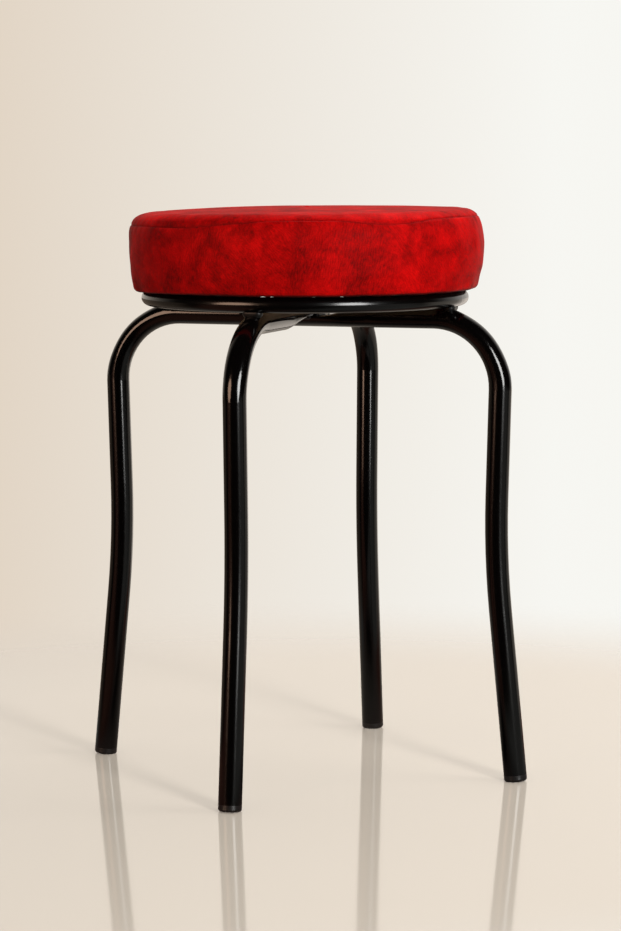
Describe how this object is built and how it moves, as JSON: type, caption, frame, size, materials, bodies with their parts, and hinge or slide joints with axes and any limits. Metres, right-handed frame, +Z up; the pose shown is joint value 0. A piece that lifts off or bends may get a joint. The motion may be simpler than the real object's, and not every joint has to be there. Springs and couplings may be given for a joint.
{
  "type": "kitchen stool",
  "caption": "Backless kitchen stool: round padded vinyl seat on a steel ring, carried by crossed U-bent tube legs with plastic foot caps.",
  "frame": {"origin": "on the floor, under the middle of the seat", "axes": "+Z up along the stool's axis, X along the side legs' tube with +X to the right leg, +Y to the back leg"},
  "size_m": [0.386, 0.386, 0.4729],
  "materials": {
    "lacquered_steel": "gloss black lacquer",
    "cap_plastic": "matte, scuffed at the floor",
    "plated_steel": "zinc plated",
    "plywood": "raw plywood",
    "foam": "open-cell foam",
    "vinyl": "semi-gloss marbled and embossed vinyl"
  },
  "bodies": {
    "root": {"side_leg_tube": "lacquered_steel", "front_leg_tube": "lacquered_steel", "seat_ring": "lacquered_steel", "ring_welds": "lacquered_steel", "crossing_welds": "lacquered_steel", "lug_welds": "lacquered_steel", "seat_lug_1": "lacquered_steel", "seat_lug_2": "lacquered_steel", "seat_lug_3": "lacquered_steel", "seat_lug_4": "lacquered_steel", "foot_cap_front": "cap_plastic", "foot_cap_back": "cap_plastic", "foot_cap_left": "cap_plastic", "foot_cap_right": "cap_plastic", "seat_screws": "plated_steel", "hem_tacks": "plated_steel", "seat_board": "plywood", "seat_foam": "foam", "cover_top_panel": "vinyl", "cover_side_band": "vinyl"}
  },
  "joints": []
}
